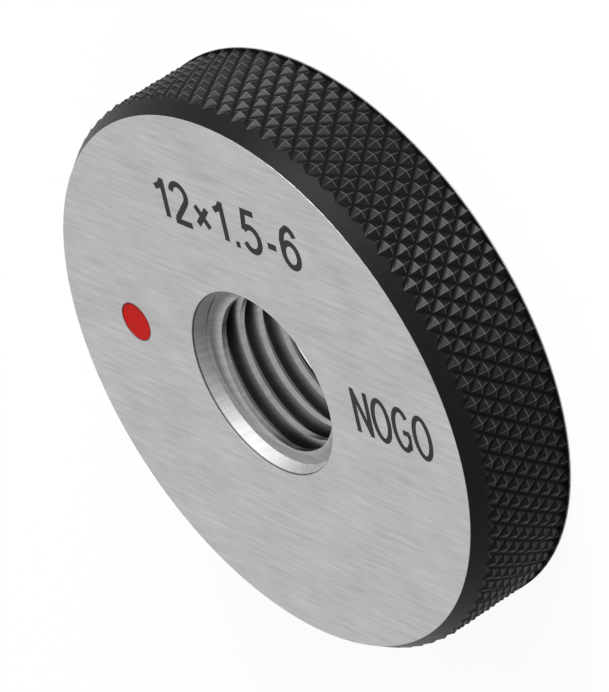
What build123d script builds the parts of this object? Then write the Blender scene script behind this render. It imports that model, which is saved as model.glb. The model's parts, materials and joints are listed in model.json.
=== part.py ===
from build123d import *
from build123d.topology import SkipClean
import math
import os

# Thread ring gauge, the not-go half of a pair: a flat steel ring with a 12 x 1.5 mm
# internal thread, a diamond-knurled rim and one ground face that carries the marks.
# It lies on its rear face with the marked face up: +Z up, the marks read along +X,
# origin at the middle of the rear face. Millimetres and degrees.

# Ring
outside_diameter = 38.0         # over the points of the knurl
thickness = 7.5
chamfer_width = 0.85            # front chamfer, measured along the radius
chamfer_angle = 34.0            # front chamfer, measured from the axis
rear_lip = 0.20                 # smooth band that the knurl leaves at the rear edge

# Diamond knurl on the rim
knurl_depth = 0.28
knurl_cells = 90                # diamonds in one row round the rim
knurl_row_step = 0.83           # from one row of points to the next, along the axis
knurl_run_in = 0.06             # how far the grooves notch the front chamfer, along the axis

# Internal thread, ISO metric form, right hand
thread_diameter = 12.0
thread_pitch = 1.5
thread_flank_angle = 30.0
thread_phase = 28.0             # direction in which a crest passes the middle of the width

# Front mouth of the bore: a fine bevel, then a slightly tapered land wider than the thread
mouth_radius = 6.33             # at the face
mouth_bevel_depth = 0.07
land_radius = 6.25              # at the foot of the bevel
land_end_radius = 6.02
land_end_depth = 0.95           # from the face
land_step_depth = 0.08          # sloping step from the land down to the thread crests

# Rear mouth: one wide countersink
countersink_radius = 7.0        # at the rear face
countersink_angle = 120.0       # between opposite sides

# Red mark on the face: a shallow round recess filled with enamel
mark_x = -11.7
mark_y = 0.7
mark_radius = 1.3
mark_recess_depth = 0.25
mark_sink = 0.03                # enamel surface below the face

# Derived sizes
outer_radius = outside_diameter / 2
groove_radius = outer_radius - knurl_depth
face_radius = outer_radius - chamfer_width      # edge of the ground face
chamfer_height = chamfer_width / math.tan(math.radians(chamfer_angle))
major_radius = thread_diameter / 2
sharp_height = thread_pitch / (2 * math.tan(math.radians(thread_flank_angle)))
minor_radius = major_radius - 5 / 8 * sharp_height
countersink_depth = (countersink_radius - minor_radius) / math.tan(math.radians(countersink_angle / 2))


def turned(outline):
    """A solid turned about the ring's axis from (radius, height) points."""
    return revolve(make_face(Polyline(*[(r, 0, z) for r, z in outline], close=True)), Axis.Z, 360)


def blank():
    """The disc the ring is made from, chamfered in front and square at the rear."""
    return turned([
        (0, 0),
        (outer_radius, 0),
        (outer_radius, thickness - chamfer_height),
        (face_radius, thickness),
        (0, thickness),
    ])


def front_mouth():
    """What is cut away where the thread opens in the marked face."""
    outline = [
        (0, -1),
        (mouth_radius, -1),
        (mouth_radius, 0),
        (land_radius, mouth_bevel_depth),
        (land_end_radius, land_end_depth),
        (minor_radius, land_end_depth + land_step_depth),
        (0, land_end_depth + land_step_depth),
    ]
    return turned([(r, thickness - depth) for r, depth in outline])


def rear_mouth():
    """The countersink where the thread opens in the rear face."""
    return turned([
        (0, -1),
        (countersink_radius, -1),
        (countersink_radius, 0),
        (minor_radius, countersink_depth),
        (0, countersink_depth),
    ])


def knurl_drum():
    """A drum whose side is all four-sided points, longer than the ring at both ends.

    The lowest points of its valleys are the crossings of the two sets of grooves; a row
    of crossings lies just above where the front chamfer comes down to the groove bottoms.
    """
    chamfer_foot = (groove_radius - face_radius) / math.tan(math.radians(chamfer_angle))
    first_row = thickness - chamfer_foot + knurl_run_in
    rows_above = math.ceil(chamfer_height / knurl_row_step) + 2
    rows_below = math.ceil(first_row / knurl_row_step) + 2
    half_cell = math.pi / knurl_cells

    def row_z(row):
        return first_row - row * knurl_row_step

    def crossing(row, column):
        angle = (2 * column + row % 2) * half_cell
        return (groove_radius * math.cos(angle), groove_radius * math.sin(angle), row_z(row))

    def point(row, column):
        angle = (2 * column + row % 2 + 1) * half_cell
        return (outer_radius * math.cos(angle), outer_radius * math.sin(angle), row_z(row))

    def triangle(a, b, c):
        return Face(Wire.make_polygon([a, b, c], close=True))

    faces = []
    top_row = -rows_above
    bottom_row = rows_below
    for row in range(top_row + 1, bottom_row):
        for column in range(knurl_cells):
            left = crossing(row, column)
            right = crossing(row, column + 1)
            above = crossing(row - 1, column + row % 2)
            below = crossing(row + 1, column + row % 2)
            peak = point(row, column)
            faces.append(triangle(left, peak, above))
            faces.append(triangle(above, peak, right))
            faces.append(triangle(right, peak, below))
            faces.append(triangle(below, peak, left))
    for column in range(knurl_cells):
        shift = (top_row + 1) % 2
        gap_top = crossing(top_row + 1, column + 1 - shift)
        faces.append(triangle(crossing(top_row, column), gap_top, crossing(top_row, column + 1)))
        shift = (bottom_row - 1) % 2
        gap_low = crossing(bottom_row - 1, column + 1 - shift)
        faces.append(triangle(crossing(bottom_row, column), crossing(bottom_row, column + 1), gap_low))
    for row in (top_row, bottom_row):
        ring = [crossing(row, column) for column in range(knurl_cells)]
        faces.append(Face(Wire.make_polygon(ring, close=True)))
    return Solid(Shell(faces))


def rim_form():
    """What the rim is trimmed to: the drum of points, standing on a disc that spares the lip."""
    above_lip = knurl_drum().split(Plane.XY.offset(rear_lip), keep=Keep.TOP)
    disc = Pos(0, 0, rear_lip) * Cylinder(
        2 * outer_radius, thickness, align=(Align.CENTER, Align.CENTER, Align.MAX)
    )
    return above_lip.fuse(disc)


def thread_groove():
    """The helical groove of the thread, running out past both ends of the ring."""
    reach = 0.15
    half_root = thread_pitch / 16
    slope = math.tan(math.radians(thread_flank_angle))
    inner = minor_radius - reach
    half_mouth = half_root + (major_radius - inner) * slope
    turns = math.ceil(thickness / thread_pitch) + 1
    length = turns * thread_pitch
    start = thickness / 2 - length / 2
    path = Helix(thread_pitch, length, major_radius)
    profile = make_face(
        Polyline(
            (inner, 0, -half_mouth),
            (major_radius, 0, -half_root),
            (major_radius, 0, half_root),
            (inner, 0, half_mouth),
            close=True,
        )
    )
    groove = sweep(profile, path=path, is_frenet=True)
    # Half a turn from the groove is the crest that thread_phase points at.
    turn = thread_phase + 180 - 360 * (length / 2 / thread_pitch)
    return Pos(0, 0, start) * Rot(0, 0, turn) * groove


def build_ring():
    """The whole ring. Each turn of the thread's crest is two faces, one on each side of y = 0."""
    bore = Pos(0, 0, thickness / 2) * Cylinder(minor_radius, 2 * thickness)
    recess = Pos(mark_x, mark_y, thickness - mark_recess_depth) * Cylinder(
        mark_radius, 2 * mark_recess_depth, align=(Align.CENTER, Align.CENTER, Align.MIN)
    )
    core = blank() - bore - thread_groove() - front_mouth() - rear_mouth()
    sides = core.split(Plane.XZ, keep=Keep.BOTH)
    halves = [solid for side in sides for solid in side.solids()]
    with SkipClean():
        return (halves[0].fuse(halves[1]) & rim_form()) - recess


def build_mark():
    height = mark_recess_depth - mark_sink
    return Pos(mark_x, mark_y, thickness - mark_recess_depth) * Cylinder(
        mark_radius, height, align=(Align.CENTER, Align.CENTER, Align.MIN)
    )


def one_solid(shape):
    solids = shape.solids()
    if len(solids) != 1:
        raise ValueError("expected one solid, found " + str(len(solids)))
    return solids[0]


os.makedirs("parts", exist_ok=True)

ring_body = one_solid(build_ring())
ring_body.label = "ring_body"
export_step(ring_body, "parts/ring_body.step")

red_mark = one_solid(build_mark())
red_mark.label = "red_mark"
export_step(red_mark, "parts/red_mark.step")
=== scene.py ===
import json
import math

import bmesh
import bpy
from mathutils import Euler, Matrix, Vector

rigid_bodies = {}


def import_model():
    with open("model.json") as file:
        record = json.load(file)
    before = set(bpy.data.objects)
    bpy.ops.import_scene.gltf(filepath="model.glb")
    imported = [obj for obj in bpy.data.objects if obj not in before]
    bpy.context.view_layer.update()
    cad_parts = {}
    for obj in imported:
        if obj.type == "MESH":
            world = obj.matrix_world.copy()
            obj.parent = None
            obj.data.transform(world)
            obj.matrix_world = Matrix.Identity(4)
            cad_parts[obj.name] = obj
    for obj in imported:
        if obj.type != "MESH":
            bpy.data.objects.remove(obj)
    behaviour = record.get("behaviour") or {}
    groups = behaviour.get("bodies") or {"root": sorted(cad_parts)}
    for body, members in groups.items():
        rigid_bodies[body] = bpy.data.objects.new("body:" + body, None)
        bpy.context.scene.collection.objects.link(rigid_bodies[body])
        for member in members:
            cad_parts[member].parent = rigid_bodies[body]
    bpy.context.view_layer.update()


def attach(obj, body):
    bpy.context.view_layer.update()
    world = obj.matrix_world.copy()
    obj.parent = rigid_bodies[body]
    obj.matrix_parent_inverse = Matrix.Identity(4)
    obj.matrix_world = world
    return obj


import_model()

MM = 0.001

# Sizes of the ring that the finishes and the marks follow, in millimetres.
THICKNESS = 7.5
FACE_RADIUS = 18.15
MOUTH_RADIUS = 6.33
LAND_FOOT = 6.55                # height at which the thread gives way to the land in front
RED_MARK = (-11.7, 0.7)
RED_MARK_RADIUS = 1.3
KNURL_CELLS = 90                # points in one row round the rim
KNURL_ROW_STEP = 0.83
KNURL_FIRST_ROW = 6.715         # height of the first row of valley crossings
KNURL_END = (6.1, 6.6)          # heights between which the knurl's shading fades into the chamfer
REAR_LIP = 0.20


def make_camera():
    data = bpy.data.cameras.new("camera")
    data.lens = 304.54
    data.sensor_width = 36.0
    data.clip_start = 0.02
    data.clip_end = 20.0
    camera = bpy.data.objects.new("camera", data)
    camera.location = (0.250735, 0.180568, 0.179626)
    camera.rotation_euler = Euler([math.radians(a) for a in (-43.2968, 47.1304, -16.4643)])
    bpy.context.scene.collection.objects.link(camera)
    bpy.context.scene.camera = camera


def soft_lamp(name, azimuth, elevation, distance, size, power):
    data = bpy.data.lights.new(name, "AREA")
    data.shape = "DISK"
    data.size = size
    data.energy = power
    lamp = bpy.data.objects.new(name, data)
    a, e = math.radians(azimuth), math.radians(elevation)
    towards = Vector((math.cos(a) * math.cos(e), math.sin(a) * math.cos(e), math.sin(e)))
    lamp.location = towards * distance
    lamp.rotation_euler = towards.to_track_quat("Z", "Y").to_euler()
    bpy.context.scene.collection.objects.link(lamp)


class Number:
    """A value that a shader works out, so that sums on it are written as sums."""

    def __init__(self, nodes, socket):
        self.nodes = nodes
        self.socket = socket

    def combine(self, operation, *values):
        """One operation of the maths node."""
        return self.nodes.add("ShaderNodeMath", {"operation": operation}, *values)

    def __add__(self, other):
        return self.combine("ADD", self, other)

    def __sub__(self, other):
        return self.combine("SUBTRACT", self, other)

    def __mul__(self, other):
        return self.combine("MULTIPLY", self, other)

    def __truediv__(self, other):
        return self.combine("DIVIDE", self, other)

    def __rsub__(self, other):
        return self.combine("SUBTRACT", other, self)

    __radd__ = __add__
    __rmul__ = __mul__

    def rise(self, start, end):
        """0 below start, 1 above end, smooth between."""
        return self.nodes.add(
            "ShaderNodeMapRange", {"interpolation_type": "SMOOTHSTEP"}, self, start, end, 0.0, 1.0
        )

    def size(self):
        return self.combine("ABSOLUTE", self)

    def saw(self):
        """Distance to the nearest whole number, 0 to 0.5."""
        return self.combine("PINGPONG", self, 0.5)


class Nodes:
    """The node tree of one finish."""

    def __init__(self, tree):
        self.tree = tree
        tree.nodes.clear()

    def add(self, kind, settings=None, *values, output=0, **named):
        """A node with its settings, then what goes into its inputs, by order or by name."""
        node = self.tree.nodes.new(kind)
        for key, value in (settings or {}).items():
            setattr(node, key, value)
        for place, value in list(enumerate(values)) + list(named.items()):
            self.feed(node.inputs[place if isinstance(place, int) else place.replace("_", " ")], value)
        return Number(self, node.outputs[output]) if node.outputs else None

    def feed(self, socket, value):
        if isinstance(value, Number):
            self.tree.links.new(value.socket, socket)
        else:
            socket.default_value = value

    def mix(self, amount, low, high):
        """Colour low where amount is 0 and high where it is 1."""
        node = self.tree.nodes.new("ShaderNodeMix")
        node.data_type = "RGBA"
        for place, value in ((0, amount), (6, low), (7, high)):
            self.feed(node.inputs[place], value)
        return Number(self, node.outputs[2])

    def blend(self, amount, low, high):
        """Number low where amount is 0 and high where it is 1."""
        return low + amount * (high - low)

    def noise(self, coordinates, scale, detail=4.0, roughness=0.6):
        return self.add(
            "ShaderNodeTexNoise", {}, Vector=coordinates, Scale=scale, Detail=detail, Roughness=roughness
        )

    def place(self, scale=(1, 1, 1), turn=(0, 0, 0), shift=(0, 0, 0)):
        """Object coordinates, shifted, turned and stretched."""
        where = self.add("ShaderNodeTexCoord", {}, output=3)
        return self.add(
            "ShaderNodeMapping", {}, Vector=where, Location=shift, Rotation=turn, Scale=scale
        )

    def split(self, vector):
        """The three parts of a vector."""
        node = self.tree.nodes.new("ShaderNodeSeparateXYZ")
        self.tree.links.new(vector.socket, node.inputs[0])
        return [Number(self, output) for output in node.outputs]

    def distance(self, vector):
        return self.add("ShaderNodeVectorMath", {"operation": "LENGTH"}, vector, output="Value")

    def colour(self, red, green, blue):
        return self.add("ShaderNodeCombineColor", {}, Red=red, Green=green, Blue=blue)

    def seen_directly(self):
        """1 where the camera sees a thing itself, or mirrored, or through a clear one."""
        node = self.tree.nodes.new("ShaderNodeLightPath")
        rays = ("Is Camera Ray", "Is Glossy Ray", "Is Transmission Ray")
        seen, mirrored, through = (Number(self, node.outputs[ray]) for ray in rays)
        return seen + mirrored + through

    def surface(self, bump, **sockets):
        height, strength, depth = bump
        relief = self.add("ShaderNodeBump", {}, Strength=strength, Distance=depth, Height=height)
        shader = self.add("ShaderNodeBsdfPrincipled", {}, Normal=relief, **sockets)
        self.add("ShaderNodeOutputMaterial", {}, Surface=shader)


def finish_named(name):
    material = bpy.data.materials.new(name)
    material.use_nodes = True
    return material, Nodes(material.node_tree)


def grey(level):
    return (level, level, level, 1.0)


def ring_finish():
    """Ground steel on the faces and in the bore, a blackened rim, a thin bare line at the rear edge."""
    material, n = finish_named("ring_ground_and_blackened")
    x, y, z = n.split(n.place(scale=(1000, 1000, 1000)))
    radius = n.distance(n.place(scale=(1000, 1000, 0)))

    grain = n.noise(n.place(scale=(330, 4600, 400), turn=(0, 0, math.radians(2))), 1.0, 5.0, 0.6)
    scratch = n.noise(n.place(scale=(150, 3000, 400), turn=(0, 0, math.radians(-9))), 1.0, 3.0, 0.5)
    cloud = n.noise(n.place(scale=(260, 260, 260)), 1.0, 5.0, 0.6)
    fine = n.noise(n.place(scale=(2200, 2200, 2200)), 1.0, 3.0, 0.6)
    turned = n.noise(n.place(scale=(0, 0, 6000)), 1.0, 3.0, 0.7)

    on_face = z.rise(THICKNESS - 0.02, THICKNESS - 0.01)
    outside = (radius + (cloud - 0.5) * 0.02).rise(FACE_RADIUS - 0.01, FACE_RADIUS + 0.02)
    above_lip = z.rise(REAR_LIP - 0.14, REAR_LIP - 0.10)
    black = outside * above_lip
    in_bore = 1 - radius.rise(MOUTH_RADIUS - 0.06, MOUTH_RADIUS - 0.01)
    # Painted shade inside the bore: the thread zone is darkened a little and the thread roots much more,
    # for the shade in the thread's grooves.
    in_thread = in_bore * (1 - z.rise(LAND_FOOT - 0.12, LAND_FOOT))
    root_shade = in_thread * (radius + (turned - 0.5) * 0.08).rise(5.24, 5.75)
    on_land = in_bore - in_thread
    # Painted shade: a thin dark line in the crease where the mouth's bevel meets the land.
    bevel_crease_shade = in_bore * (1 - ((z - (THICKNESS - 0.09)).size()).rise(0.03, 0.07))

    # Both sets of valley lines: 0 on a line, 1 halfway to the next; the points are where both are 1.
    round_rim = n.add("ShaderNodeMath", {"operation": "ARCTAN2"}, y, x) * (KNURL_CELLS / (2 * math.pi))
    along_rim = (z - KNURL_FIRST_ROW) / (2 * KNURL_ROW_STEP)
    valley_a = (round_rim + along_rim).saw() * 2
    valley_b = (round_rim - along_rim).saw() * 2
    up_the_point = n.add("ShaderNodeMath", {"operation": "MINIMUM"}, valley_a, valley_b)
    on_knurl = outside * (1 - z.rise(*KNURL_END))
    # Painted shade: the knurl's valleys are darkened, and made rougher, where shade falls between the
    # points.
    in_valley = (1 - up_the_point.rise(0.08, 0.40)) * on_knurl
    on_edge = 1 - (valley_a - valley_b).size().rise(0.0, 0.11)
    # Lighter lines along the knurl's edges near the points: partly worn oxide, partly a painted
    # highlight for the glints the edges catch.
    worn_and_glinting_edge = on_edge * up_the_point.rise(0.12, 0.45) * on_knurl

    from_mark = n.distance(n.place(scale=(1000, 1000, 0), shift=(-RED_MARK[0], -RED_MARK[1], 0)))
    # Painted shade: a thin dark ring on the face round the red mark, where the edge of its recess lies
    # in shade.
    mark_rim_shade = (1 - from_mark.rise(RED_MARK_RADIUS + 0.03, RED_MARK_RADIUS + 0.07)) * on_face

    steel_tone = 0.445 + (grain - 0.5) * 0.24 + (cloud - 0.5) * 0.15 + (scratch - 0.5) * 0.12
    # The land gets a darker tone; painted shade darkens the thread zone and, much more, the thread
    # roots.
    steel_tone = steel_tone * (1 - on_land * 0.30) * (1 - in_thread * 0.22) * (1 - root_shade * 0.62)
    # Painted shade in the bevel's crease.
    steel_tone = steel_tone * (1 - bevel_crease_shade * 0.75)
    # Painted shade round the red mark.
    steel_tone = steel_tone * (1 - mark_rim_shade * 0.92)
    steel = n.colour(steel_tone * 1.012, steel_tone * 0.99, steel_tone)
    # Black oxide, with painted shade in the knurl's valleys and lighter edge lines that are partly wear
    # and partly painted highlight.
    skin_tone = (0.0015 + fine * 0.0020) * (1 - in_valley * 0.9) + worn_and_glinting_edge * (0.014 + fine * 0.05)
    skin = n.colour(skin_tone, skin_tone, skin_tone * 1.15)

    rough_face = 0.36 + (grain - 0.5) * 0.14 + (cloud - 0.5) * 0.08
    rough_steel = n.blend(in_bore, rough_face, 0.22 + (turned - 0.5) * 0.14 + on_land * 0.50)
    rough_black = 0.40 + (fine - 0.5) * 0.14 + in_valley * 0.35
    height = (grain * 0.7 + scratch * 0.3) * on_face + turned * in_thread * 0.8 + fine * black * 0.5
    n.surface(
        Base_Color=n.mix(black, steel, skin),
        Metallic=1 - black,
        Roughness=n.blend(black, rough_steel, rough_black),
        Specular_IOR_Level=0.10,
        bump=(height, 0.26, 0.00002),
    )
    return material


def enamel_finish():
    material, n = finish_named("red_enamel")
    cloud = n.noise(n.place(scale=(900, 900, 900)), 1.0, 4.0, 0.6)
    speck = n.noise(n.place(scale=(5200, 5200, 5200)), 1.0, 2.0, 0.5)
    tone = n.mix(cloud, (0.37, 0.002, 0.001, 1), (0.47, 0.004, 0.001, 1))
    n.surface(
        Base_Color=tone,
        Roughness=0.42 + (speck - 0.5) * 0.2,
        Specular_IOR_Level=0.05,
        bump=(cloud * 0.6 + speck * 0.4, 0.25, 0.00004),
    )
    return material


def etched_finish():
    material, n = finish_named("etched_marking")
    speck = n.noise(n.place(scale=(4200, 4200, 4200)), 1.0, 3.0, 0.6)
    grain = n.noise(n.place(scale=(150, 3000, 400)), 1.0, 4.0, 0.6)
    tone = 0.010 + speck * 0.010 + grain * 0.008
    n.surface(
        Base_Color=n.colour(tone, tone, tone),
        Roughness=0.62 + (speck - 0.5) * 0.2,
        Specular_IOR_Level=0.14,
        bump=(speck, 0.3, 0.00002),
    )
    return material


def floor_finish():
    """White card: plain to lamps, and as white as the backdrop where it is seen."""
    material, n = finish_named("white_card")
    fibre = n.noise(n.place(scale=(60, 60, 60)), 1.0, 3.0, 0.5)
    tone = 0.90 + fibre * 0.03
    card = n.add("ShaderNodeBsdfDiffuse", {}, Color=n.colour(tone, tone, tone))
    glow = n.add("ShaderNodeEmission", {}, Color=grey(1.0), Strength=1.0)
    both = n.add("ShaderNodeMixShader", {}, n.seen_directly() * 0.92, card, glow)
    n.add("ShaderNodeOutputMaterial", {}, Surface=both)
    return material


def make_world():
    world = bpy.data.worlds.new("studio")
    world.use_nodes = True
    bpy.context.scene.world = world
    n = Nodes(world.node_tree)
    strength = 0.62 + n.seen_directly() * 0.38
    backdrop = n.add("ShaderNodeBackground", {}, Color=grey(1.0), Strength=strength)
    n.add("ShaderNodeOutputWorld", {}, Surface=backdrop)


def keep_piece(name, shape, material):
    """Adds a shape to the scene as a piece that stays with the ring."""
    mesh = bpy.data.meshes.new(name)
    shape.to_mesh(mesh)
    shape.free()
    piece = bpy.data.objects.new(name, mesh)
    bpy.context.scene.collection.objects.link(piece)
    mesh.materials.append(material)
    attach(piece, "root")
    return piece


def arc(middle, across, up, start, end, steps=20):
    """Points on an oval, from one direction to another in degrees."""
    angles = [math.radians(start + (end - start) * i / steps) for i in range(steps + 1)]
    return [(middle[0] + across * math.cos(a), middle[1] + up * math.sin(a)) for a in angles]


# The signs' surface above the face, their foot below it, and a step that keeps crossing strokes apart.
SIGN_RISE = 0.008
SIGN_SINK = 0.004
SIGN_STEP = 0.0006

# Middle lines of the strokes of each sign, for a height of 1, and the sign's width.
SIGNS = {
    "1": (0.30, [[(0.28, 0.0), (0.28, 1.0)], [(0.28, 0.95), (0.18, 0.81), (0.0, 0.72)]]),
    "2": (0.50, [arc((0.25, 0.73), 0.25, 0.27, 172, -38) + [(0.03, 0.06)], [(-0.05, 0.0), (0.52, 0.0)]]),
    "5": (0.50, [
        [(0.46, 1.0), (0.10, 1.0), (0.02, 0.50)],
        arc((0.23, 0.31), 0.27, 0.31, 142, -155),
    ]),
    "6": (0.50, [
        arc((0.25, 0.31), 0.25, 0.31, 0, 360),
        arc((0.27, 0.72), 0.20, 0.28, 18, 100) + [(0.08, 0.86), (0.0, 0.62), (0.0, 0.31)],
    ]),
    "×": (0.40, [[(0.0, 0.14), (0.40, 0.62)], [(0.0, 0.62), (0.40, 0.14)]]),
    ".": (0.10, [[(0.0, 0.02), (0.13, 0.02)]]),
    "-": (0.26, [[(0.0, 0.33), (0.28, 0.33)]]),
    "N": (0.62, [[(0.0, -0.05), (0.0, 1.05)], [(0.0, 1.0), (0.62, 0.0)], [(0.62, -0.05), (0.62, 1.05)]]),
    "O": (0.72, [arc((0.36, 0.5), 0.36, 0.5, 0, 360, 32)]),
    "G": (0.70, [
        arc((0.36, 0.5), 0.36, 0.5, 38, 318, 28) + [(0.66, 0.14), (0.66, 0.44)],
        [(0.70, 0.44), (0.38, 0.44)],
    ]),
}


def stroke(shape, line, half, low, high):
    """A flat ribbon of one width along a line of (x, y) points; a closed line closes the ribbon."""
    points = [Vector(p) for p in line]
    closed = (points[0] - points[-1]).length < 1e-6
    if closed:
        points.pop()
    count = len(points)
    rows = []
    for i, point in enumerate(points):
        before = points[i - 1] if closed or i else point
        after = points[(i + 1) % count] if closed or i < count - 1 else point
        arms = [arm.normalized() for arm in (point - before, after - point) if arm.length]
        along = sum(arms, Vector((0, 0))).normalized()
        spread = min(1 / max(along.dot(arms[0]), 0.1), 1.6)
        side = Vector((-along.y, along.x)) * half * spread
        corners = ((point + side, high), (point - side, high), (point - side, low), (point + side, low))
        rows.append([shape.verts.new((p.x, p.y, z)) for p, z in corners])
    for i in range(count if closed else count - 1):
        here, there = rows[i], rows[(i + 1) % count]
        for k in range(4):
            shape.faces.new((here[k], here[(k + 1) % 4], there[(k + 1) % 4], there[k]))
    if not closed:
        shape.faces.new(rows[0])
        shape.faces.new(rows[-1])


def marking(name, signs, left, base, width, height, weight, gap, material):
    """Etched signs on the marked face, fitted to a width and a height; sizes in millimetres."""
    half = weight / 2
    natural = sum(SIGNS[sign][0] for sign in signs) + gap * (len(signs) - 1)
    stretch = (width - weight) / natural
    shape = bmesh.new()
    place = 0.0
    layer = 0
    for sign in signs:
        sign_width, lines = SIGNS[sign]
        for line in lines:
            fitted = [
                (
                    (left + half + (place + x) * stretch) * MM,
                    (base + min(max(half + y * (height - weight), 0), height)) * MM,
                )
                for x, y in line
            ]
            top = THICKNESS + SIGN_RISE + SIGN_STEP * (layer % 3)
            stroke(shape, fitted, half * MM, (THICKNESS - SIGN_SINK) * MM, top * MM)
            layer += 1
        place += sign_width + gap
    bmesh.ops.recalc_face_normals(shape, faces=shape.faces)
    return keep_piece(name, shape, material)


def make_floor(material):
    shape = bmesh.new()
    bmesh.ops.create_grid(shape, x_segments=1, y_segments=1, size=3.0)
    mesh = bpy.data.meshes.new("floor")
    shape.to_mesh(mesh)
    shape.free()
    mesh.materials.append(material)
    floor = bpy.data.objects.new("floor", mesh)
    bpy.context.scene.collection.objects.link(floor)


def dress(node, material):
    """Gives a node of the frame its finish and leaves its shape and place alone."""
    for obj in bpy.context.scene.objects:
        if obj.type == "MESH" and obj.name.split(".")[0] == node:
            for slot in obj.material_slots:
                slot.material = material


make_camera()
make_world()
soft_lamp("side_window", 88, 10, 0.9, 0.34, 15.0)
soft_lamp("far_window", 68, 12, 0.9, 0.26, 8.0)
bpy.context.scene.view_settings.view_transform = "Standard"

make_floor(floor_finish())
dress("ring_body", ring_finish())
dress("red_mark", enamel_finish())
etched = etched_finish()
marking("size_marking", "12×1.5-6", -6.4, 10.0, 13.4, 3.15, 0.42, 0.28, etched)
marking("side_marking", "NOGO", 8.8, -0.4, 7.0, 3.2, 0.36, 0.26, etched)
